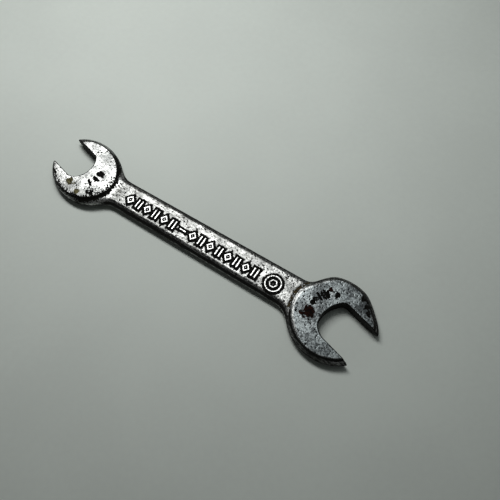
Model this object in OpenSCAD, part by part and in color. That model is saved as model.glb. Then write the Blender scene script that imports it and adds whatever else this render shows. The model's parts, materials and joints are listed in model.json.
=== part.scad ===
// Double open-ended wrench: one steel forging with a small and a large jaw, each turned off the
// shank so that the two mouths point to opposite sides. It lies flat on both heads.
// The forging is described as regions that meet face to face: two heads, the shank between them,
// and the raised band and ring on the shank's upper side.

/* [Jaws] */
// Across flats of the small jaw
small_jaw_w = 11.4; // [10:0.1:12]
// Across flats of the large jaw
large_jaw_w = 13.5; // [12:0.1:14.5]
// Angle between each jaw and the shank, in degrees
jaw_angle = 14.5; // [10:0.5:20]
// How far behind the small head's centre its jaw reaches
small_jaw_depth = 1.4; // [1:0.1:2.5]
// How far behind the large head's centre its jaw reaches
large_jaw_depth = 2.8; // [2.5:0.1:4]

/* [Heads] */
// Distance between the two heads' centres
head_pitch = 99.4; // [90:0.2:120]
// Thickness of both heads
head_t = 4.6; // [4.2:0.1:6]
// Half width of the small head's flat face, across its jaw
small_face_r = 10.6; // [10.2:0.1:11.4]
// Half width of the large head's flat face, across its jaw
large_face_r = 12.9; // [12.4:0.1:13.8]
// Length of the small head along its jaw, as a share of its width
small_stretch = 1.1; // [1:0.01:1.12]
// Length of the large head along its jaw, as a share of its width
large_stretch = 1.045; // [1:0.005:1.1]
// How far the drafted sides stand out at mid height
draft = 1.4; // [0.8:0.1:1.6]

/* [Shank] */
// Width of the shank where it would reach the small head's centre
shank_small_w = 10.2; // [9:0.1:11]
// Width of the shank where it would reach the large head's centre
shank_large_w = 12; // [10.5:0.1:12.5]
// How far each face of the shank lies below the heads' faces
shank_sink = 0.7; // [0.4:0.05:1]
// Sideways place of the shank's axis at the small head
shank_small_y = -0.65; // [-1:0.05:1]
// Sideways place of the shank's axis at the large head
shank_large_y = 1.2; // [-1:0.05:1.5]
// Radius of the hollow that blends the shank into the small head
small_neck_r = 6; // [4:0.5:7]
// Radius of the hollow that blends the shank into the large head
large_neck_r = 6.5; // [5:0.5:7.5]

/* [Raised band] */
// Height of the raised marks along the band
mark_h = 3.4; // [2.4:0.1:3.8]
// Width of a raised stroke
stroke_w = 0.55; // [0.4:0.05:0.7]
// How far the marks stand above the shank
relief = 0.35; // [0.2:0.05:0.4]
// Distance from one mark to the next
mark_pitch = 3.5; // [3.1:0.05:3.55]
// Number of marks before the dash
marks_before = 6; // [2:1:6]
// Number of marks after the dash
marks_after = 8; // [2:1:8]
// Outer radius of the raised ring
ring_r = 2.95; // [2.4:0.05:3.2]
// Depth of the punched marks in the heads' upper faces
punch_depth = 0.25; // [0.1:0.05:0.4]

/* [Hidden] */
$fn = 96;
FAR = 200;
ROUND_FN = 32;
STEEL = "#b9bcbc";
BRIGHT = "#d8dad8";
SHADED = "#9aa0a2";

// How far a horn tip lies from its head's centre along the part
function horn_reach(edge_r, stretch, jaw_w) =
    edge_r * stretch * sqrt(1 - pow(jaw_w / 2 / edge_r, 2)) * cos(jaw_angle)
    + jaw_w / 2 * sin(jaw_angle);

small_reach = horn_reach(small_face_r + draft, small_stretch, small_jaw_w);
large_reach = horn_reach(large_face_r + draft, large_stretch, large_jaw_w);
length = small_reach + head_pitch + large_reach;
small_x = small_reach - length / 2;
large_x = length / 2 - large_reach;
mid_z = head_t / 2;

shank_t = head_t - 2 * shank_sink;
side_r = shank_t / 2;
shank_top = head_t - shank_sink;
// The two planes where the heads end and the shank begins
small_end_x = small_x + 15.2;
large_end_x = large_x - 18.2;
// How far the shank's plate runs on into each head's disc
plate_inset = 5;
// Width of the ring of metal behind each neck's hollow
neck_web = 3;

// A throat meets the two flats this far in front of its deepest point
throat_rise = 2.55;

// The raised band and the ring follow a line of their own, turned a little off the shank's axis
band_small_y = -1.15;
band_large_y = -0.1;
band_angle = atan2(band_large_y - band_small_y, head_pitch);
band_start_x = small_x + 20.6;
dash_l = 2.5;
dash_pitch = 4.05;
ring_x = large_x - 21.7;
lozenge_w = 2.9;
bar_gap = 1.35;
pip_r = 0.25;
hexagon_r = 1.6;

// Punched marks: the arc that they stand on, and the size of a bar and of a dot
small_punch_r = 6;
large_punch_r = 7.8;
bar_l = 2.6;
bar_w = 0.6;
dot_r = 0.8;

// Place of the shank's axis at x
function axis_y(x) =
    shank_small_y + (x - small_x) * (shank_large_y - shank_small_y) / head_pitch;
function shank_w(x) =
    shank_small_w + (x - small_x) * (shank_large_w - shank_small_w) / head_pitch;
function band_y(x) = band_small_y + (x - small_x) * (band_large_y - band_small_y) / head_pitch;
// A point on the shank's upper (side = 1) or lower (side = -1) outline
function edge_point(x, side) = [x, axis_y(x) + side * shank_w(x) / 2];
function unit(v) = v / norm(v);

// Oval disc with sides that slope out to mid height, stretched along X. Its two cones run past
// the faces, and a slab trims them, so that both faces are true planes.
module head_disc(face_r, stretch) intersection() {
    cone_h = mid_z + 1;
    tip_r = face_r + draft - cone_h * draft / mid_z;
    scale([stretch, 1, 1]) {
        translate([0, 0, -1]) cylinder(h = cone_h, r1 = tip_r, r2 = face_r + draft);
        translate([0, 0, mid_z]) cylinder(h = cone_h, r1 = face_r + draft, r2 = tip_r);
    }
    translate([-FAR / 2, -FAR / 2, 0]) cube([FAR, FAR, head_t]);
}

// Mouth of a jaw, opening towards +X from a shallow round throat
module jaw_cut(jaw_w, depth) {
    throat_r = (pow(jaw_w / 2, 2) + pow(throat_rise, 2)) / (2 * throat_rise);
    translate([0, 0, -1]) linear_extrude(head_t + 2) {
        intersection() {
            translate([throat_r - depth, 0]) circle(throat_r);
            translate([-FAR / 2, -jaw_w / 2]) square([FAR, jaw_w]);
        }
        translate([throat_rise - depth, -jaw_w / 2]) square([FAR, jaw_w]);
    }
}

// The shank's plate with half-round sides, running on into both heads
module plate() hull()
    for (x = [small_x + plate_inset, large_x - plate_inset], side = [-1, 1])
        translate([x, axis_y(x) + side * (shank_w(x) / 2 - side_r), mid_z])
            rotate([0, 90, 0]) cylinder(h = 0.01, r = side_r, center = true, $fn = ROUND_FN);

// Hollow between one side of the shank and a head: the inside of a ring with a half-round edge
module neck_hollow(head_x, edge_r, neck_r, side) {
    line = unit(edge_point(1, side) - edge_point(0, side));
    along = head_x < 0 ? line : -line;
    out = side * [-line[1], line[0]];
    rise = neck_r + (edge_point(head_x, side) - [head_x, 0]) * out;
    reach = sqrt(pow(edge_r + neck_r, 2) - pow(rise, 2));
    centre = [head_x, 0] + out * rise + along * reach;
    to_head = [head_x, 0] - centre;
    from_angle = atan2(-out[1], -out[0]);
    turn = atan2(to_head[1], to_head[0]) - from_angle;
    sweep = turn > 180 ? turn - 360 : turn < -180 ? turn + 360 : turn;
    translate([centre[0], centre[1], mid_z]) rotate(sweep > 0 ? from_angle : from_angle + sweep)
        rotate_extrude(angle = abs(sweep)) {
            translate([neck_r + side_r, 0]) circle(side_r, $fn = ROUND_FN);
            translate([neck_r + side_r, -side_r]) square([neck_web, shank_t]);
        }
}

// Punched marks along an arc, one per letter: "b" for a radial bar and "d" for a dot
module punches(kinds, arc_r, start, step)
    for (i = [0:len(kinds) - 1]) rotate(start + i * step) translate([arc_r, 0, head_t])
        if (kinds[i] == "b") cube([bar_l, bar_w, 2 * punch_depth], center = true);
        else cylinder(h = 2 * punch_depth, r = dot_r, center = true);

// One head before its jaw is cut, with its neck; mouth_angle is where the jaw will open
module head(x, face_r, stretch, neck_r, mouth_angle) {
    translate([x, 0, 0]) rotate(mouth_angle) head_disc(face_r, stretch);
    plate();
    for (side = [-1, 1]) neck_hollow(x, face_r + draft, neck_r, side);
}

module small_head() color(STEEL) difference() {
    head(small_x, small_face_r, small_stretch, small_neck_r, 180 - jaw_angle);
    translate([small_end_x, -FAR / 2, -1]) cube([FAR, FAR, FAR]);
    translate([small_x, 0, 0]) {
        rotate(180 - jaw_angle) jaw_cut(small_jaw_w, small_jaw_depth);
        punches(["b", "b", "d"], small_punch_r, -36, 25);
    }
}

module large_head() color(SHADED) difference() {
    head(large_x, large_face_r, large_stretch, large_neck_r, -jaw_angle);
    translate([large_end_x - FAR, -FAR / 2, -1]) cube([FAR, FAR, FAR]);
    translate([large_x, 0, 0]) {
        rotate(-jaw_angle) jaw_cut(large_jaw_w, large_jaw_depth);
        punches(["d", "b", "b", "d"], large_punch_r, 106, 22);
    }
}

module shank() color(STEEL) intersection() {
    plate();
    translate([small_end_x, -FAR / 2, -1]) cube([large_end_x - small_end_x, FAR, FAR]);
}

// Places a child on the shank's upper face, on the band's line
module on_shank(x) translate([x, band_y(x), shank_top]) rotate(band_angle) children();

module lozenge(w, h) polygon([[w / 2, 0], [0, h / 2], [-w / 2, 0], [0, -h / 2]]);

// An outlined lozenge with a round pip in it
module lozenge_mark() linear_extrude(relief) {
    difference() {
        lozenge(lozenge_w, mark_h);
        lozenge(lozenge_w - 2.7 * stroke_w, mark_h - 3.2 * stroke_w);
    }
    circle(pip_r);
}

module twin_bar_mark() for (side = [-1, 1])
    translate([side * bar_gap / 2 - stroke_w / 2, -mark_h / 2, 0]) cube([stroke_w, mark_h, relief]);

module mark_row(x, count)
    for (i = [0:count - 1]) on_shank(x + i * mark_pitch)
        if (i % 2 == 0) lozenge_mark();
        else twin_bar_mark();

module raised_band() color(BRIGHT) {
    dash_x = band_start_x + (marks_before - 1) * mark_pitch + dash_pitch;
    mark_row(band_start_x, marks_before);
    on_shank(dash_x) translate([-dash_l / 2, -stroke_w / 2, 0]) cube([dash_l, stroke_w, relief]);
    mark_row(dash_x + dash_pitch, marks_after);
}

// A round ring with an outlined hexagon in it
module raised_ring() color(BRIGHT) on_shank(ring_x) linear_extrude(relief) {
    difference() {
        circle(ring_r);
        circle(ring_r - stroke_w);
    }
    difference() {
        circle(hexagon_r, $fn = 6);
        circle(hexagon_r - stroke_w, $fn = 6);
    }
}

small_head();
shank();
large_head();
raised_band();
raised_ring();
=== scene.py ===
import json
import math

import bpy
import numpy as np
import openvdb
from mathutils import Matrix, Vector


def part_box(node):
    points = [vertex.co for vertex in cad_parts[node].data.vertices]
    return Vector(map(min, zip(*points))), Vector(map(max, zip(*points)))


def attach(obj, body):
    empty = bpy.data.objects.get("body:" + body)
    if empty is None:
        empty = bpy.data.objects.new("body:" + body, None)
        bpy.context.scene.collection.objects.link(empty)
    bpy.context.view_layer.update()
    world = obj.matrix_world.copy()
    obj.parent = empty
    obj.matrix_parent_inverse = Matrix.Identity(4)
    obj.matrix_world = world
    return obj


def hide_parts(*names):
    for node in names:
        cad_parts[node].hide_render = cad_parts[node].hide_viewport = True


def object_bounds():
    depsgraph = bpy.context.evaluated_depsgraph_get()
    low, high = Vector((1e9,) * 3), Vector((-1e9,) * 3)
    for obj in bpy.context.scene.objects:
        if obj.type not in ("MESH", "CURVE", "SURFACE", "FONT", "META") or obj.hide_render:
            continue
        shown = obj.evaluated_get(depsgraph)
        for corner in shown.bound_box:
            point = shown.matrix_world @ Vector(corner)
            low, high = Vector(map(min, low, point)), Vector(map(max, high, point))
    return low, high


# A worn, plated double open-ended wrench that lies on a pale floor. The forging is described by
# one distance field in millimetres, meshed once and parted at the planes where the packed
# shank ends. Its raised marks are two pieces of their own. Blender's own units are metres.

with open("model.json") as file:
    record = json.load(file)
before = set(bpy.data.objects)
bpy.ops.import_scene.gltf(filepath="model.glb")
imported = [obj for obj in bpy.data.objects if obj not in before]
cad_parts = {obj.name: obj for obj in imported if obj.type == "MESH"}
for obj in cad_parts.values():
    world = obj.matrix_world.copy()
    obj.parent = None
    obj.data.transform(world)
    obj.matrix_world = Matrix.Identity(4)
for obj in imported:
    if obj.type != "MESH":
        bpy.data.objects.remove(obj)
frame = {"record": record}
CAD_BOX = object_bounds()
MM = 0.001
SEED = 7


# ---------------------------------------------------------------- places read from the frame

def node_box(name):
    """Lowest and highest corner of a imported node, in millimetres."""
    return [np.array(corner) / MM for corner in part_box(name)]


MOUNTS = {mount["name"]: mount for mount in frame["record"]["mounts"]}
MOUTH_LEAD = 3.0  # each jaw's mouth mount lies this far in front of its head's centre


def jaw_of(end):
    """Centre of a head, direction of its mouth and width of its jaw."""
    mouth = MOUNTS[end + "_jaw_mouth"]
    flats = [np.array(MOUNTS[end + "_jaw_flat_" + side]["pos_m"]) / MM for side in "ab"]
    axis = np.array(mouth["axis"])[:2]
    centre = np.array(mouth["pos_m"])[:2] / MM - MOUTH_LEAD * axis
    return centre, axis, float(np.linalg.norm(flats[0] - flats[1]))


SMALL_CENTRE, SMALL_AXIS, SMALL_JAW = jaw_of("small")
LARGE_CENTRE, LARGE_AXIS, LARGE_JAW = jaw_of("large")
SHANK_LOW, SHANK_HIGH = node_box("shank")
HEAD_T = node_box("large_head")[1][2]
MID_Z = HEAD_T / 2
CUTS = (SHANK_LOW[0], SHANK_HIGH[0])
PITCH = LARGE_CENTRE[0] - SMALL_CENTRE[0]

# ---------------------------------------------------------------- sizes of the forging, in mm

SMALL_W = 10.2  # width of the shank where it would reach each head's centre
LARGE_W = 12.0
SMALL_Y = -0.65  # sideways place of the shank's axis at each head's centre
LARGE_Y = 1.2
SHANK_TOP = SHANK_HIGH[2]
SIDE_R = SHANK_TOP - MID_Z  # half the shank's thickness
SHOULDER = 1.9  # how far in from its sides the shank is rounded
STEP_H = HEAD_T - SHANK_TOP
PLATE_INSET = 5.0
EDGE_BREAK = 0.45  # how softly the jaw's edges are broken
THROAT_RISE = 2.55
RIDGE_OUT = 0.12  # the parting line left by the dies, at mid height
RIDGE_HALF = 0.13
PUNCH_DEPTH = 0.25

# Each head, with lengths along its mouth and across it. "face" is the size of its flat face and
# "edge" of its widest outline, at mid height, which is shifted and turned from the face; "flats"
# are places where both are cut back, each an angle and the two reaches. "depth" is how far the jaw
# reaches behind the centre, and "corners" how round its two inner corners are. "neck" is how softly
# the outline runs into the shank on either side, "step" how far out from the face the shank begins
# to rise, and "rim" how softly the face rounds off, away from the shank and towards it.
# "shank_side" is the direction along x in which the shank lies. The punches stand on an arc, in
# degrees, with "b" for a bar and "d" for a dot.
HEADS = (
    {
        "centre": SMALL_CENTRE, "axis": SMALL_AXIS, "jaw": SMALL_JAW, "depth": 1.4,
        "face": (11.8, 10.6), "edge": (14.1, 11.45), "edge_shift": (-0.35, -0.3),
        "edge_turn": -0.116, "flats": (),
        "neck": (3.4, 3.4), "step": 2.1, "rim": (0.3, 0.3), "shank_side": 1,
        "corners": (1.0, 1.4),
        "punch_r": 6.0, "punch_start": -36, "punch_step": 25, "punches": "bbd",
    },
    {
        "centre": LARGE_CENTRE, "axis": LARGE_AXIS, "jaw": LARGE_JAW, "depth": 2.8,
        "face": (13.6, 12.9), "edge": (15.3, 14.2), "edge_shift": (0.3, 0.2),
        "edge_turn": 0.0, "flats": ((60, 12.8, 13.7), (156, 12.95, 13.75)),
        "neck": (4.2, 1.8), "step": 0.5, "rim": (0.3, 1.2), "shank_side": -1,
        "corners": (3.2, 1.0),
        "punch_r": 7.8, "punch_start": 106, "punch_step": 22, "punches": "dbbd",
    },
)
BAR = (1.3, 0.3)  # half length and half width of a punched bar
DOT_R = 0.8

# ---------------------------------------------------------------- small field functions


def smooth_max(a, b, k):
    blend = np.maximum(k - np.abs(a - b), 0) / k
    return np.maximum(a, b) + blend * blend * k / 4


def smooth_min(a, b, k):
    return -smooth_max(-a, -b, k)


def ramp(value, low, high):
    """0 below low, 1 above high, and smooth between them; low may be the larger one."""
    t = np.clip((value - low) / (high - low), 0, 1)
    return t * t * (3 - 2 * t)


def oval(u, v, a, b):
    """Distance to an ellipse, close enough while it is nearly round."""
    q = np.sqrt((u / a) ** 2 + (v / b) ** 2)
    slope = np.sqrt((u / a**2) ** 2 + (v / b**2) ** 2)
    return (q - 1) * q / np.maximum(slope, 1e-4)


def slab_box(u, v, half_u, half_v):
    return np.maximum(np.abs(u) - half_u, np.abs(v) - half_v)


class Noise:
    """Smooth random field over space, the same on every run."""

    SIZE = 64

    def __init__(self, seed):
        self.lattice = np.random.default_rng(seed).random((self.SIZE,) * 3).astype(np.float32)

    def at(self, points, cell):
        """Values from 0 to 1 at an array of points, with features about one cell wide."""
        place = np.asarray(points) / cell + 1000.5
        base = np.floor(place).astype(int)
        part = place - base
        part = part * part * (3 - 2 * part)
        total = 0
        for corner in np.ndindex(2, 2, 2):
            weight = np.prod(np.where(corner, part, 1 - part), axis=1)
            i, j, k = ((base + corner) % self.SIZE).T
            total = total + weight * self.lattice[i, j, k]
        return total

    def layers(self, points, cell, count=3):
        """Several octaves of the field, again from 0 to 1."""
        value = sum(self.at(points, cell / 2**i) / 2**i for i in range(count))
        return value / sum(0.5**i for i in range(count))


# ---------------------------------------------------------------- the forging's field


def shank_axis_y(x):
    return SMALL_Y + (x - SMALL_CENTRE[0]) * (LARGE_Y - SMALL_Y) / PITCH


def shank_half_w(x):
    return (SMALL_W + (x - SMALL_CENTRE[0]) * (LARGE_W - SMALL_W) / PITCH) / 2


def head_frame(x, y, head):
    """Coordinates along a head's mouth and across it."""
    dx, dy = x - head["centre"][0], y - head["centre"][1]
    cos, sin = head["axis"]
    return dx * cos + dy * sin, dy * cos - dx * sin


def shank_outline(x, y):
    sides = np.abs(y - shank_axis_y(x)) - shank_half_w(x)
    ends = np.maximum(SMALL_CENTRE[0] + PLATE_INSET - x, x - LARGE_CENTRE[0] + PLATE_INSET)
    return np.maximum(sides, ends)


def disc_outline(u, v, share, head):
    """A head's oval outline: its face's where share is 0, its widest one where share is 1."""
    u, v = (w - share * shift for w, shift in zip((u, v), head["edge_shift"]))
    cos, sin = np.cos(share * head["edge_turn"]), np.sin(share * head["edge_turn"])
    a, b = (face + share * (edge - face) for face, edge in zip(head["face"], head["edge"]))
    disc = oval(u * cos + v * sin, v * cos - u * sin, a, b)
    for angle, face_reach, edge_reach in head["flats"]:
        reach = face_reach + share * (edge_reach - face_reach)
        turn = math.radians(angle)
        disc = smooth_max(disc, u * math.cos(turn) + v * math.sin(turn) - reach, 1.2)
    return disc


def plan_outline(x, y):
    """Outline at mid height: the shank, both discs and the hollows between them."""
    plan = shank_outline(x, y)
    for head in HEADS:
        u, v = head_frame(x, y, head)
        disc = disc_outline(u, v, 1.0, head)
        before, behind = head["neck"]
        plan = smooth_min(plan, disc, np.where(v < 0, before, behind))
    return plan


def face_rim(x, y, head):
    """Distance outwards from the edge of a head's flat face, negative on the face."""
    return disc_outline(*head_frame(x, y, head), 0.0, head)


def drafted_side(x, y, h, head):
    """The sloping side of an oval disc, widest at mid height."""
    u, v = head_frame(x, y, head)
    share = np.clip(1 - h / MID_Z, -0.4, 1)
    return 0.87 * disc_outline(u, v, share, head)


def rim_blend(x):
    """How softly a face rounds off into the side, which differs towards the shank."""
    rim = HEADS[0]["rim"][0]
    for head in HEADS:
        towards_shank = ramp((x - head["centre"][0]) * head["shank_side"], 3.0, 9.0)
        near = ramp(np.abs(x - head["centre"][0]), 22, 18)
        rim = rim + (head["rim"][1] - head["rim"][0]) * towards_shank * near
    return rim


def step_lift(x, y):
    """How far the shank's faces rise in a hollow curve as they run up to a head's disc."""
    lift = 0.0
    for head in HEADS:
        gap = face_rim(x, y, head)
        curve = np.clip(1 - gap / head["step"], 0, 1) ** 2
        lift = np.maximum(lift, STEP_H * curve * (np.abs(x - head["centre"][0]) < 20))
    return lift * ramp(shank_outline(x, y), -0.4, -2.4)


def mouth_outline(x, y, head):
    """The jaw's opening in plan: two parallel flats and a shallow round throat."""
    u, v = head_frame(x, y, head)
    half = head["jaw"] / 2
    throat_r = (half**2 + THROAT_RISE**2) / (2 * THROAT_RISE)
    throat = np.hypot(u - throat_r + head["depth"], v) - throat_r
    back = np.minimum(throat, THROAT_RISE - head["depth"] - u)
    lower, upper = head["corners"]
    return smooth_max(np.abs(v) - half, back, np.where(v < 0, lower, upper))


def punch_outline(x, y):
    """All punched bars and dots in plan, each head's along an arc about its centre."""
    nearest = np.full(np.broadcast(x, y).shape, 9.0)
    for head in HEADS:
        dx, dy = x - head["centre"][0], y - head["centre"][1]
        for i, kind in enumerate(head["punches"]):
            turn = math.radians(head["punch_start"] + i * head["punch_step"])
            cos, sin = math.cos(turn), math.sin(turn)
            out, across = dx * cos + dy * sin - head["punch_r"], dy * cos - dx * sin
            bar = slab_box(out, across, *BAR)
            nearest = np.minimum(nearest, bar if kind == "b" else np.hypot(out, across) - DOT_R)
    return nearest


def forging(x, y, z):
    """Distance to the whole forging's surface, negative inside."""
    h = np.abs(z - MID_Z)
    plan = plan_outline(x, y)
    inset = np.maximum(plan + SHOULDER, 0) * SIDE_R / SHOULDER
    body = np.hypot(inset, np.maximum(h - step_lift(x, y), 0)) - SIDE_R
    for head in HEADS:
        body = smooth_min(body, drafted_side(x, y, h, head), 0.15)
    body = smooth_max(body, h - MID_Z, rim_blend(x))
    ridge = np.maximum(plan - RIDGE_OUT, h - RIDGE_HALF)
    body = smooth_min(body, ridge, 0.22)
    for head in HEADS:
        body = smooth_max(body, -mouth_outline(x, y, head), EDGE_BREAK)
    punch = np.maximum(punch_outline(x, y), HEAD_T - PUNCH_DEPTH - z)
    return smooth_max(body, -punch, 0.14)


# ---------------------------------------------------------------- meshing a field


def slope_of(field, points, step=0.02):
    """Unit normals of a field at some points."""
    columns = []
    for axis in range(3):
        offset = np.zeros(3)
        offset[axis] = step
        columns.append(field(*(points + offset).T) - field(*(points - offset).T))
    slope = np.stack(columns, axis=1)
    return slope / np.maximum(np.linalg.norm(slope, axis=1, keepdims=True), 1e-9)


def mesh_field(field, low, high, cell, passes=3):
    """Points and quads on a field's zero surface; the points are then settled onto it."""
    ticks = [np.arange(a, b + c, c, dtype=np.float32) for a, b, c in zip(low, high, cell)]
    x, y, z = ticks[0][:, None, None], ticks[1][None, :, None], ticks[2][None, None, :]
    values = np.ascontiguousarray(field(x, y, z), dtype=np.float32)
    grid = openvdb.FloatGrid(5.0)
    grid.copyFromArray(values)
    points, quads = grid.convertToQuads(isovalue=0.0)
    points = np.array(low) + np.asarray(points, float) * np.array(cell)
    for _ in range(passes):
        away = field(*points.T)[:, None] * slope_of(field, points)
        points = points - np.clip(away, -0.6 * min(cell), 0.6 * min(cell))
    return points, np.asarray(quads, int)


def facing_out(points, quads, normals):
    """The quads, wound so that they face the way that the field grows."""
    corners = points[quads]
    turned = np.cross(corners[:, 2] - corners[:, 0], corners[:, 3] - corners[:, 1])
    agree = np.einsum("ij,ij->i", turned, normals[quads[:, 0]])
    return quads if np.median(np.sign(agree)) > 0 else quads[:, ::-1]


def mesh_normals(points, quads):
    """Smooth normals of a quad mesh, weighted by area."""
    corners = points[quads]
    face = np.cross(corners[:, 2] - corners[:, 0], corners[:, 3] - corners[:, 1])
    total = np.zeros_like(points)
    for k in range(4):
        for axis in range(3):
            total[:, axis] += np.bincount(quads[:, k], face[:, axis], len(points))
    return total / np.maximum(np.linalg.norm(total, axis=1, keepdims=True), 1e-12)


def open_edges(quads):
    """The directed edges that only one quad has."""
    edges = np.concatenate([quads[:, [k, (k + 1) % 4]] for k in range(4)])
    key = np.sort(edges, axis=1)
    code = key[:, 0].astype(np.int64) * (key.max() + 1) + key[:, 1]
    _, index, counts = np.unique(code, return_index=True, return_counts=True)
    return edges[index[counts == 1]]


def make_piece(name, points, faces, normals, values, material, stands_for):
    """A smooth-shaded piece from faces of any size, with its wear and painted shade values on its
    points.
    """
    used = np.unique(np.concatenate([np.ravel(f) for f in faces]))
    renumber = np.zeros(len(points), int)
    renumber[used] = np.arange(len(used))
    mesh = bpy.data.meshes.new(name)
    corners = [renumber[f] for f in faces]
    totals = np.concatenate([np.full(len(f), f.shape[1]) for f in corners])
    mesh.vertices.add(len(used))
    mesh.vertices.foreach_set("co", (points[used] * MM).astype(np.float32).ravel())
    mesh.loops.add(int(totals.sum()))
    mesh.loops.foreach_set("vertex_index", np.concatenate([f.ravel() for f in corners]))
    mesh.polygons.add(len(totals))
    mesh.polygons.foreach_set("loop_start", np.concatenate([[0], np.cumsum(totals)[:-1]]))
    mesh.update(calc_edges=True)
    mesh.validate()
    mesh.shade_smooth()
    for key, value in values.items():
        layer = mesh.attributes.new(key, "FLOAT", "POINT")
        layer.data.foreach_set("value", value[used].astype(np.float32))
    mesh.normals_split_custom_set_from_vertices(normals[used])
    mesh.materials.append(material)
    piece = bpy.data.objects.new(name, mesh)
    bpy.context.scene.collection.objects.link(piece)
    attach(piece, "root")
    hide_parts(stands_for)
    return piece


# ---------------------------------------------------------------- raised marks

STROKE = 0.55
MARK_H = 3.4
LOZENGE_W = 2.9
BAR_GAP = 1.35
PIP_R = 0.25
DASH_L = 2.5
DASH_PITCH = 4.05
MARKS_BEFORE, MARKS_AFTER = 6, 8
RING_STROKE = 0.55
HEXAGON_R = 1.6
HEXAGON_STROKE = 0.5
RELIEF = node_box("raised_band")[1][2] - SHANK_TOP
FOOT = 0.15  # the marks run this far into the shank, and flare out a little at its surface


def outline_of(distance, stroke):
    """A line of the given width just inside a shape's edge."""
    return np.abs(distance + stroke / 2) - stroke / 2


def lozenge_mark(u, v):
    steep = math.hypot(2 / LOZENGE_W, 2 / MARK_H)
    distance = (np.abs(u) * 2 / LOZENGE_W + np.abs(v) * 2 / MARK_H - 1) / steep
    return np.minimum(outline_of(distance, STROKE), np.hypot(u, v) - PIP_R)


def twin_bar_mark(u, v):
    return slab_box(np.abs(u) - BAR_GAP / 2, v, STROKE / 2, MARK_H / 2)


def dash_mark(u, v):
    return slab_box(u, v, DASH_L / 2, STROKE / 2)


def ring_mark(u, v):
    radius = np.hypot(u, v)
    sides = [np.abs(u * math.cos(t) + v * math.sin(t)) for t in np.radians([30, 90, 150])]
    hexagon = np.maximum.reduce(sides) - HEXAGON_R * math.cos(math.pi / 6)
    return np.minimum(outline_of(radius - RING_R, RING_STROKE), outline_of(hexagon, HEXAGON_STROKE))


BAND_LOW, BAND_HIGH = node_box("raised_band")
RING_LOW, RING_HIGH = node_box("raised_ring")
RING_CENTRE = ((RING_LOW + RING_HIGH) / 2)[:2]
RING_R = (RING_HIGH[0] - RING_LOW[0]) / 2
BAND_START = np.array([BAND_LOW[0] + LOZENGE_W / 2, BAND_LOW[1] + MARK_H / 2])
BAND_END = np.array([BAND_HIGH[0] - (BAR_GAP + STROKE) / 2, BAND_HIGH[1] - MARK_H / 2])
BAND_DIR = (BAND_END - BAND_START) / np.linalg.norm(BAND_END - BAND_START)
MARK_PITCH = (BAND_END[0] - BAND_START[0] - 2 * DASH_PITCH) / (MARKS_BEFORE + MARKS_AFTER - 2)


def band_marks():
    """Distance along the band and outline of each mark in turn."""
    first_after = (MARKS_BEFORE - 1) * MARK_PITCH + 2 * DASH_PITCH
    for count, start in ((MARKS_BEFORE, 0), (MARKS_AFTER, first_after)):
        for i in range(count):
            yield start + i * MARK_PITCH, twin_bar_mark if i % 2 else lozenge_mark
    yield first_after - DASH_PITCH, dash_mark


def band_frame(x, y, origin):
    dx, dy = x - origin[0], y - origin[1]
    return dx * BAND_DIR[0] + dy * BAND_DIR[1], dy * BAND_DIR[0] - dx * BAND_DIR[1]


def band_outline(x, y):
    u, v = band_frame(x, y, BAND_START)
    nearest = np.full(np.broadcast(x, y).shape, 9.0)
    for along, mark in band_marks():
        nearest = np.minimum(nearest, mark(u - along, v))
    return nearest


def ring_outline(x, y):
    return ring_mark(*band_frame(x, y, RING_CENTRE))


def relief_field(outline):
    """A raised mark: its strokes are rounded on top and flare out at the foot."""

    def field(x, y, z):
        rise = np.clip((z - SHANK_TOP) / RELIEF, 0, 1)
        flare = 0.14 * (1 - rise) ** 2
        strokes = outline(x, y) - flare
        return smooth_max(smooth_max(strokes, z - SHANK_TOP - RELIEF, 0.14),
                          SHANK_TOP - FOOT - z, 0.05)

    return field


# ---------------------------------------------------------------- wear, painted shade and painted highlight

RAGGED = Noise(SEED + 5)


def spot(points, x, y, radius):
    """1 in the middle of a ragged patch on the upper side, and 0 outside it."""
    reach = np.hypot(points[:, 0] - x, points[:, 1] - y) / radius
    ragged = 1.5 * (RAGGED.layers(points, 0.55 + 0.5 * radius, 3) - 0.5)
    return ramp(reach + ragged, 1.3, 0.5) * (points[:, 2] > MID_Z)


def head_place(head, angle, radius):
    """A point on a head's face, by its angle about the head's centre."""
    turn = math.radians(angle)
    return head["centre"] + radius * np.array([math.cos(turn), math.sin(turn)])


# Patches on the heads' upper faces: head, angle about its centre, distance from it, size
RUST_SPOTS = (
    (0, 260, 6.8, 1.3), (0, 292, 9.2, 1.1), (1, 200, 7.6, 2.3), (1, 122, 9.0, 0.9),
)
GRIME_SPOTS = (
    (0, -14, 5.8, 1.2), (0, 10, 6.4, 1.6), (0, -36, 6.0, 0.8), (0, 318, 9.6, 1.4),
    (1, 108, 7.0, 0.9), (1, 134, 8.0, 1.6), (1, 160, 7.8, 1.0), (1, 62, 12.2, 1.0),
    (1, 50, 11.9, 1.5), (1, 40, 11.8, 1.3),
)
MARK_RUST_SIZE = 0.9  # one more patch of rust lies on the first raised mark
DUSTY_PLACE = (142, 8.5)  # angle and distance from the large head's centre of its dusty zone
# The dirtiest stretch of each head's rim: head, angles where it begins and ends, how dirty
DIRTY_RIMS = ((0, 205, 372, 0.56), (1, 32, 68, 0.66))
STRETCH_FADE = 12  # degrees on either side of its ends over which such a stretch fades

# How dirty or rusty the worst of each kind is, and how dark the painted shade on the small head's
# step is, from 0 to 1
SPOT_GRIME = 0.75
HALO_GRIME = 0.95
STEP_SHADE = 0.8
RIM_GRIME = 0.26
DUST_GRIME = 0.27
GROOVE_GRIME = 0.62
GROOVE_RUST = 0.5
MARK_RUST = 0.8
# Painted highlight: how much the painted shade is lifted on the upper slopes of the two heads'
# sides and along the shank's parting line
SMALL_SLOPE_SHINE = 0.68
LARGE_SLOPE_SHINE = 0.4
RIDGE_SHINE = 0.7


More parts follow.
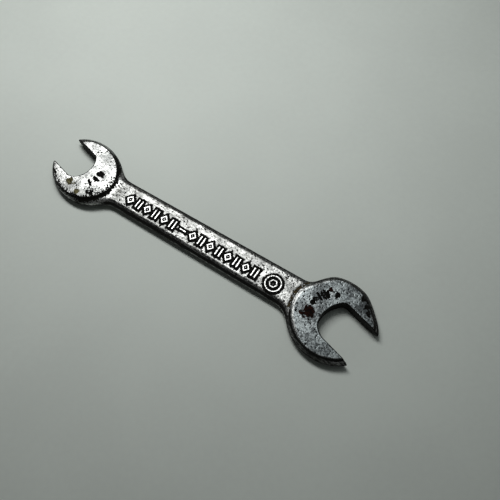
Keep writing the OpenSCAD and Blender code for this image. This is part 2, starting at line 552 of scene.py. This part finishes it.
def spots(points, places):
    """The strongest of several patches at each point."""
    strongest = np.zeros(len(points))
    for index, angle, radius, size in places:
        x, y = head_place(HEADS[index], angle, radius)
        strongest = np.maximum(strongest, spot(points, x, y, size))
    return strongest


def near_head(x):
    """1 at either head and 0 along the shank."""
    reach = np.minimum(np.abs(x - SMALL_CENTRE[0]), np.abs(x - LARGE_CENTRE[0]))
    return ramp(reach, 15, 11)


def painted_flank_shade(x, y, z, facing):
    """Painted shade: how dark the sides and the mouths' edges are painted, most where they face
    sideways, lifted by painted highlights on the heads' upper slopes and along the shank's parting
    line.
    """
    h = np.abs(z - MID_Z)
    top = z > MID_Z
    at_head = near_head(x)
    mouths = np.minimum(*(mouth_outline(x, y, head) for head in HEADS))
    slope = ramp(h, 1.7, 1.3) * ramp(h, 0.1, 0.4) * top * at_head * ramp(mouths, 0.3, 0.8)
    shine = np.where(x < 0, SMALL_SLOPE_SHINE, LARGE_SLOPE_SHINE) * slope
    ridge = RIDGE_SHINE * ramp(h, 0.26, 0.1) * (1 - at_head)
    flank_shade = ramp(facing, 0.975, 0.75) * (1 - shine) * (1 - ridge)
    return np.maximum(flank_shade, ramp(mouths, 0.4, 0.2) * top)


def step_shade(x, y, top):
    """Painted shade on the step up from the shank to the small head, where its slope faces away
    from the head.
    """
    gap = face_rim(x, y, HEADS[0])
    step = ramp(gap, -0.4, 0.2) * ramp(gap, 2.3, 0.7) * ramp(x - SMALL_CENTRE[0], 2, 6) * top
    return STEP_SHADE * step * (x < SMALL_CENTRE[0] + 20)


def rim_grime(x, y):
    """Dirt along the rims of both heads: a little all round, and more along one stretch."""
    grime_and_shade = 0.0 * x
    for index, start, end, most in DIRTY_RIMS:
        head = HEADS[index]
        rim = face_rim(x, y, head)
        turn = np.degrees(np.arctan2(y - head["centre"][1], x - head["centre"][0]))
        turn = (turn - start + 30) % 360 + start - 30
        fade_in = ramp(turn, start - STRETCH_FADE, start + STRETCH_FADE)
        stretch = fade_in * ramp(turn, end + STRETCH_FADE, end - STRETCH_FADE)
        inside = ramp(rim, 0.8, 0.3)
        grime_and_shade = np.maximum(grime_and_shade, most * ramp(rim, -2.6, -0.1) * stretch * inside)
        grime_and_shade = np.maximum(grime_and_shade, RIM_GRIME * ramp(rim, -1.6, -0.1) * inside)
    return grime_and_shade


def dust_grime(x, y, top):
    """A dusty zone among the large head's punches."""
    px, py = head_place(HEADS[1], *DUSTY_PLACE)
    return DUST_GRIME * (ramp(np.hypot(x - px, y - py), 6.5, 2.0) * top)


def wear_values(points, normals):
    """Each kind of wear, painted shade and painted highlight at each point, from 0 to 1, under the
    names that the materials read.
    """
    coarse, fine = Noise(SEED), Noise(SEED + 1)
    x, y, z = points.T
    top = z > MID_Z
    facing = np.abs(normals[:, 2])
    # Between the large head and the shank lies a groove of brown dirt, beside a painted highlight
    # along the rim, where the plating is less dulled and the painted shade on the side is lifted
    rim = face_rim(x, y, HEADS[1])
    neck_side = ramp(LARGE_CENTRE[0] - x, 4, 9)
    shank_side = neck_side * ramp(shank_outline(x, y), 0.6, -0.8) * top
    groove = ramp(np.abs(rim - 0.8), 0.75, 0.3) * shank_side
    painted_rim_highlight = ramp(np.abs(rim + 0.3), 1.1, 0.5) * neck_side * (x > 0)
    dull = ramp(rim, 0.4, -0.6) * (x > 0) * (1 - 0.7 * painted_rim_highlight)
    dull = np.maximum(dull, 0.7 * groove)

    marks = np.minimum(band_outline(x, y), ring_outline(x, y))
    # Dirt of several kinds, with the painted shade on the small head's step among them
    grime_and_shade = np.maximum.reduce([
        SPOT_GRIME * spots(points, GRIME_SPOTS),
        HALO_GRIME * (ramp(marks, 1.1, 0.6) * top),
        ramp(punch_outline(x, y), 0.25, -0.1) * top,
        step_shade(x, y, top), rim_grime(x, y), dust_grime(x, y, top), GROOVE_GRIME * groove,
    ])
    rust = np.maximum.reduce([
        spots(points, RUST_SPOTS), MARK_RUST * spot(points, *BAND_START, MARK_RUST_SIZE),
        GROOVE_RUST * groove,
    ])
    pitting = fine.layers(points, 0.5, 2)
    return {
        "grime_and_shade": grime_and_shade,
        "rust": rust,
        "pits": ramp(pitting, 0.69 - 0.12 * grime_and_shade - 0.03 * dull, 0.8) * (facing > 0.6),
        "dull": dull,
        "flank_shade": painted_flank_shade(x, y, z, facing) * (1 - 0.8 * painted_rim_highlight * shank_side),
        "mottle": coarse.layers(points, 3.0, 4),
        "shank": ramp(near_head(x), 0.6, 0.0) * (1 - 0.6 * ramp(x, -10, 25)),
    }


def weather(points, normals, values):
    """Moves the surface in where it is pitted, and roughens it a little everywhere."""
    broad, fine = Noise(SEED + 2), Noise(SEED + 3)
    waves = 0.035 * (broad.layers(points, 2.4, 3) - 0.5)
    grain = 0.03 * (fine.layers(points, 0.5, 2) - 0.5)
    depth = 0.07 * values["pits"] + 0.03 * values["grime_and_shade"] * fine.at(points, 0.7)
    return points - normals * (depth - waves - grain)[:, None]


# ---------------------------------------------------------------- materials


class Nodes:
    """Short ways to add shader nodes to one material."""

    def __init__(self, name):
        self.material = bpy.data.materials.new(name)
        self.material.use_nodes = True
        self.tree = self.material.node_tree
        self.shader = self.tree.nodes["Principled BSDF"]
        self.place = self.tree.nodes.new("ShaderNodeTexCoord").outputs["Object"]

    def link(self, value, socket):
        if isinstance(value, bpy.types.NodeSocket):
            self.tree.links.new(value, socket)
        else:
            socket.default_value = value

    def value(self, attribute):
        node = self.tree.nodes.new("ShaderNodeAttribute")
        node.attribute_name = attribute
        return node.outputs["Fac"]

    def noise(self, per_mm, detail=3.0, stretch=(1, 1, 1)):
        mapping = self.tree.nodes.new("ShaderNodeMapping")
        mapping.inputs["Scale"].default_value = [s / MM for s in stretch]
        self.tree.links.new(self.place, mapping.inputs["Vector"])
        node = self.tree.nodes.new("ShaderNodeTexNoise")
        self.tree.links.new(mapping.outputs["Vector"], node.inputs["Vector"])
        node.inputs["Scale"].default_value = per_mm
        node.inputs["Detail"].default_value = detail
        return node.outputs["Fac"]

    def math(self, operation, a, b=0.0, clamp=False):
        node = self.tree.nodes.new("ShaderNodeMath")
        node.operation = operation
        node.use_clamp = clamp
        self.link(a, node.inputs[0])
        self.link(b, node.inputs[1])
        return node.outputs[0]

    def fit(self, value, low, high, to_low=0.0, to_high=1.0):
        """value from low..high to to_low..to_high, clamped and smooth at both ends."""
        node = self.tree.nodes.new("ShaderNodeMapRange")
        node.interpolation_type = "SMOOTHSTEP"
        for number, item in enumerate((value, low, high, to_low, to_high)):
            self.link(item, node.inputs[number])
        return node.outputs["Result"]

    def mix(self, share, a, b):
        """Colour a where share is 0 and b where it is 1."""
        node = self.tree.nodes.new("ShaderNodeMix")
        node.data_type = "RGBA"
        for socket, item in ((node.inputs[0], share), (node.inputs[6], a), (node.inputs[7], b)):
            if isinstance(item, tuple):
                item = (*item, 1.0)
            self.link(item, socket)
        return node.outputs[2]

    def bump(self, height, strength, depth_mm, below=None):
        node = self.tree.nodes.new("ShaderNodeBump")
        node.inputs["Strength"].default_value = strength
        node.inputs["Distance"].default_value = depth_mm * MM
        self.tree.links.new(height, node.inputs["Height"])
        if below is not None:
            self.tree.links.new(below, node.inputs["Normal"])
        return node.outputs["Normal"]


# Colours, as linear red, green and blue
PLATING_TONES = ((0.62, 0.63, 0.61), (0.17, 0.175, 0.17))  # bright and dim
RELIEF_TONES = ((0.80, 0.81, 0.79), (0.60, 0.61, 0.59))
DULL_TONES = ((0.085, 0.094, 0.097), (0.33, 0.365, 0.368))  # dim and bright, on the large head
HANDLED = (0.12, 0.122, 0.115)
STREAK = (0.05, 0.05, 0.045)
GRIT = (0.05, 0.052, 0.05)
# The next colour is painted shade, near black, for the sides and the mouths' walls
PAINTED_SIDE_SHADE = (0.012, 0.012, 0.011)
# The next colour serves black dirt, pits and specks, and the painted shade on the small head's step
BLACK_DIRT_AND_SHADE = (0.005, 0.005, 0.004)
OLIVE_RUST = ((0.03, 0.025, 0.011), (0.20, 0.18, 0.09))
RED_RUST = ((0.004, 0.0015, 0.001), (0.026, 0.007, 0.004))
FLOOR_TONES = ((0.74, 0.795, 0.74), (0.79, 0.85, 0.79))


def plating_material(name, bright, dim):
    """Worn bright plating: mottled metal, black dirt in the hollows, painted shade on the sides and
    on the small head's step, olive and red rust.
    """
    n = Nodes(name)
    speckle = n.noise(1.35, 4.0)
    grain = n.noise(7.0, 3.0)
    scratches = n.noise(1.0, 3.0, (0.35, 3.2, 1.0))
    mottle = n.value("mottle")
    ragged = n.math("SUBTRACT", speckle, 0.5)

    def ragged_mask(attribute, low, high, amount):
        return n.fit(n.math("ADD", n.value(attribute), n.math("MULTIPLY", ragged, amount)),
                     low, high)

    grime_and_shade = ragged_mask("grime_and_shade", 0.42, 0.56, 2.2)
    rust = ragged_mask("rust", 0.35, 0.6, 2.0)
    pits = n.fit(n.value("pits"), 0.15, 0.6)
    specks = n.fit(n.math("ADD", speckle, n.math("MULTIPLY", grain, 0.35)), 0.82, 0.9)
    drawn = n.math("MULTIPLY", n.math("SUBTRACT", scratches, 0.5), 0.9)
    flank_shade = n.fit(n.math("ADD", n.value("flank_shade"), drawn), 0.12, 0.8)

    tone = n.math("ADD", n.math("MULTIPLY", mottle, 0.5), n.math("MULTIPLY", speckle, 0.7))
    tone = n.fit(tone, 0.5, 0.72)
    metal = n.mix(tone, dim, bright)
    dulled = n.mix(tone, *DULL_TONES)
    metal = n.mix(n.value("dull"), metal, dulled)
    metal = n.mix(n.math("MULTIPLY", n.value("shank"), 0.45), metal, HANDLED)
    streaks = n.math("MULTIPLY", n.fit(scratches, 0.5, 0.6), n.value("shank"))
    metal = n.mix(n.math("MULTIPLY", streaks, 0.9), metal, STREAK)
    grit = n.noise(2.2, 3.0)
    metal = n.mix(n.fit(grit, 0.52, 0.64, 0.0, 0.75), metal, GRIT)
    # Dirt, pits and specks go black, and so does the small head's step as painted shade
    dirt_and_shade = n.math("MAXIMUM", n.math("MAXIMUM", grime_and_shade, pits), specks)
    # Painted shade: the sides and the mouths' walls are painted near black where they face sideways
    colour = n.mix(flank_shade, metal, PAINTED_SIDE_SHADE)
    colour = n.mix(dirt_and_shade, colour, BLACK_DIRT_AND_SHADE)
    olive = n.mix(n.fit(speckle, 0.4, 0.6), *OLIVE_RUST)
    red = n.mix(n.fit(speckle, 0.45, 0.62), *RED_RUST)
    rust_tone = n.mix(n.value("dull"), olive, red)
    colour = n.mix(rust, colour, rust_tone)
    n.link(colour, n.shader.inputs["Base Color"])

    matt = n.math("MAXIMUM", n.math("MAXIMUM", dirt_and_shade, rust), n.math("MULTIPLY", flank_shade, 0.9))
    n.link(n.math("SUBTRACT", 1.0, matt, clamp=True), n.shader.inputs["Metallic"])
    rough = n.fit(speckle, 0.3, 0.75, 0.26, 0.42)
    rough = n.math("ADD", rough, n.math("MULTIPLY", matt, 0.35))
    n.link(n.math("MINIMUM", rough, 0.9), n.shader.inputs["Roughness"])
    n.link(n.fit(matt, 0.0, 1.0, 0.3, 0.06), n.shader.inputs["Specular IOR Level"])
    normal = n.bump(speckle, 0.6, 0.05)
    normal = n.bump(grain, 0.4, 0.02, normal)
    normal = n.bump(scratches, 0.15, 0.02, normal)
    n.link(normal, n.shader.inputs["Normal"])
    return n.material


def floor_material():
    """Pale painted board with a faint mottle."""
    n = Nodes("pale_floor")
    broad = n.noise(0.02, 3.0)
    fine = n.noise(0.5, 4.0)
    tone = n.fit(n.math("ADD", n.math("MULTIPLY", broad, 0.7), n.math("MULTIPLY", fine, 0.3)),
                 0.3, 0.7)
    n.link(n.mix(tone, *FLOOR_TONES), n.shader.inputs["Base Color"])
    n.link(n.fit(fine, 0.3, 0.7, 0.62, 0.72), n.shader.inputs["Roughness"])
    n.link(n.bump(fine, 0.1, 0.1), n.shader.inputs["Normal"])
    return n.material


# ---------------------------------------------------------------- building the pieces

CELLS_BETWEEN_CUTS = 440  # each cut lies midway between two layers of samples
FORGING_CELL_Z = 0.12
MARK_CELL = (0.09, 0.09, 0.07)
MARGIN = 0.9  # room around the forging for its field


def settle_on_cuts(points, cell_x):
    """Moves the points beside each cut onto its plane, and says which points these are."""
    at_cut = np.zeros(len(points), bool)
    for cut in CUTS:
        close = np.abs(points[:, 0] - cut) < 0.5 * cell_x
        at_cut |= close
        points[close, 0] = cut
    settled = points[at_cut]
    for _ in range(3):
        slope = slope_of(forging, settled)
        slope[:, 0] = 0
        settled = settled - forging(*settled.T)[:, None] * slope
    points[at_cut] = settled
    return at_cut


def close_cut(cut, part, points, normals, values):
    """Adds a point amid a part's open end, and gives the fan of triangles about it."""
    rim = open_edges(part)
    rim = rim[np.abs(points[rim[:, 0], 0] - cut) < 1e-6]
    hub = np.full((len(rim), 1), len(points))
    points = np.vstack([points, points[np.unique(rim)].mean(axis=0)])
    normals = np.vstack([normals, [0, 0, 1]])
    values = {key: np.append(value, 0) for key, value in values.items()}
    return np.hstack([rim[:, ::-1], hub]), points, normals, values


def build_forging(material):
    """Meshes the whole forging once, then makes a closed piece of each stretch between cuts."""
    cell_x = (CUTS[1] - CUTS[0]) / CELLS_BETWEEN_CUTS
    low, high = (np.array(corner) / MM for corner in CAD_BOX)
    cells_left = math.ceil((CUTS[0] - low[0] + MARGIN) / cell_x)
    start = [CUTS[0] - (cells_left + 0.5) * cell_x, low[1] - MARGIN, low[2] - MARGIN / 2]
    points, quads = mesh_field(forging, start, high + MARGIN / 2, (cell_x, cell_x, FORGING_CELL_Z))
    at_cut = settle_on_cuts(points, cell_x)

    normals = slope_of(forging, points)
    quads = facing_out(points, quads, normals)
    values = wear_values(points, normals)
    weathered = weather(points, normals, values)
    weathered[at_cut, 0] = points[at_cut, 0]
    shading = mesh_normals(weathered, quads)

    middle = weathered[quads].mean(axis=1)[:, 0]
    ranges = ((-np.inf, CUTS[0]), CUTS, (CUTS[1], np.inf))
    for node, (low_x, high_x) in zip(("small_head", "shank", "large_head"), ranges):
        part = quads[(middle > low_x) & (middle < high_x)]
        faces, mesh = [part], (weathered, shading, values)
        for cut in (cut for cut in CUTS if cut in (low_x, high_x)):
            cap, *mesh = close_cut(cut, part, *mesh)
            faces.append(cap)
        part_points, part_normals, part_values = mesh
        make_piece(node + "_forging", part_points, faces, part_normals, part_values,
                   material, node)


def build_marks(node, outline, material):
    """Meshes one node's raised marks, rubbed a little uneven on top."""
    field = relief_field(outline)
    low, high = node_box(node)
    start = [low[0] - 0.5, low[1] - 0.5, SHANK_TOP - FOOT - 0.2]
    end = [high[0] + 0.5, high[1] + 0.5, high[2] + 0.2]
    points, quads = mesh_field(field, start, end, MARK_CELL)
    normals = slope_of(field, points)
    quads = facing_out(points, quads, normals)
    fine = Noise(SEED + 4)
    rise = ramp(points[:, 2], SHANK_TOP, SHANK_TOP + RELIEF)
    rubbed = 0.05 * (fine.layers(points, 0.9, 2) - 0.5) * rise
    values = {
        "grime_and_shade": 0.9 * (1 - rise) + 0.2 * ramp(fine.at(points, 1.6), 0.6, 0.8),
        "rust": 0 * rise,
        "pits": ramp(fine.layers(points, 0.5, 2), 0.74, 0.85),
        "dull": 0 * rise,
        # Painted shade: the marks' steep walls are painted dark where they face sideways
        "flank_shade": ramp(normals[:, 2], 0.75, 0.4),
        "mottle": Noise(SEED).layers(points, 3.0, 4),
        "shank": 0 * rise,
    }
    points = points + normals * rubbed[:, None]
    make_piece(node + "_marks", points, [quads], mesh_normals(points, quads), values,
               material, node)


# ---------------------------------------------------------------- floor, lights and camera

FLOOR_SIZE = 4.0
PANEL_HEIGHT = 0.23
PANELS = (  # name, edges along x and along y in metres, how bright it looks, colour
    ("key_panel", (-0.192, -0.012), (0.042, 0.124), 8.4, (1, 1, 1)),
    ("mid_card", (-0.008, 0.03), (0.0, 0.17), 0.6, (0.94, 1.0, 1.0)),
    ("dim_card", (0.03, 0.14), (0.0, 0.17), 0.28, (0.92, 1.0, 1.0)),
)
WORLD_FADE = (0.05, 0.6, 0.2, 0.02)  # heights where the room's fade begins and ends; strengths
CAMERA_AIM = (14.5, 5.35, HEAD_T)
CAMERA_DISTANCE = 0.214
CAMERA_AZIMUTH = 33.0
CAMERA_ELEVATION = 66.55
CAMERA_LENS = 46.8


def build_floor():
    half = FLOOR_SIZE / 2
    mesh = bpy.data.meshes.new("floor")
    corners = [(-half, -half, 0), (half, -half, 0), (half, half, 0), (-half, half, 0)]
    mesh.from_pydata(corners, [], [(0, 1, 2, 3)])
    mesh.materials.append(floor_material())
    floor = bpy.data.objects.new("floor", mesh)
    bpy.context.scene.collection.objects.link(floor)


def build_panel(name, x_range, y_range, radiance, colour):
    """A soft panel that faces down, given by its edges in metres and how bright it looks."""
    width, depth = x_range[1] - x_range[0], y_range[1] - y_range[0]
    light = bpy.data.lights.new(name, "AREA")
    light.shape = "RECTANGLE"
    light.size, light.size_y = width, depth
    light.energy = radiance * math.pi * width * depth
    light.color = colour
    lamp = bpy.data.objects.new(name, light)
    lamp.location = (sum(x_range) / 2, sum(y_range) / 2, PANEL_HEIGHT)
    bpy.context.scene.collection.objects.link(lamp)


def build_lights():
    for panel in PANELS:
        build_panel(*panel)
    world = bpy.data.worlds.new("room")
    world.use_nodes = True
    tree = world.node_tree
    background = tree.nodes["Background"]
    background.inputs["Color"].default_value = (0.95, 1.0, 0.98, 1)
    # Dim overhead and lighter towards the horizon, so that the sides have something to reflect
    direction = tree.nodes.new("ShaderNodeTexCoord").outputs["Generated"]
    parts = tree.nodes.new("ShaderNodeSeparateXYZ")
    fade = tree.nodes.new("ShaderNodeMapRange")
    fade.interpolation_type = "SMOOTHSTEP"
    for number, value in enumerate(WORLD_FADE, start=1):
        fade.inputs[number].default_value = value
    tree.links.new(direction, parts.inputs[0])
    tree.links.new(parts.outputs["Z"], fade.inputs[0])
    tree.links.new(fade.outputs["Result"], background.inputs["Strength"])
    bpy.context.scene.world = world


def build_camera():
    turn, rise = math.radians(CAMERA_AZIMUTH), math.radians(CAMERA_ELEVATION)
    back = Vector((math.sin(turn) * math.cos(rise), -math.cos(turn) * math.cos(rise),
                   math.sin(rise)))
    data = bpy.data.cameras.new("camera")
    data.lens = CAMERA_LENS
    data.sensor_width = 36.0
    data.clip_start = 0.01
    camera = bpy.data.objects.new("camera", data)
    camera.location = Vector(CAMERA_AIM) * MM + back * CAMERA_DISTANCE
    camera.rotation_mode = "QUATERNION"
    camera.rotation_quaternion = (-back).to_track_quat("-Z", "Y")
    bpy.context.scene.collection.objects.link(camera)
    bpy.context.scene.camera = camera


bpy.context.scene.view_settings.view_transform = "Standard"
build_camera()
build_floor()
build_lights()
plating = plating_material("worn_plating_metal", *PLATING_TONES)
relief = plating_material("rubbed_relief_metal", *RELIEF_TONES)
build_forging(plating)
build_marks("raised_band", band_outline, relief)
build_marks("raised_ring", ring_outline, relief)
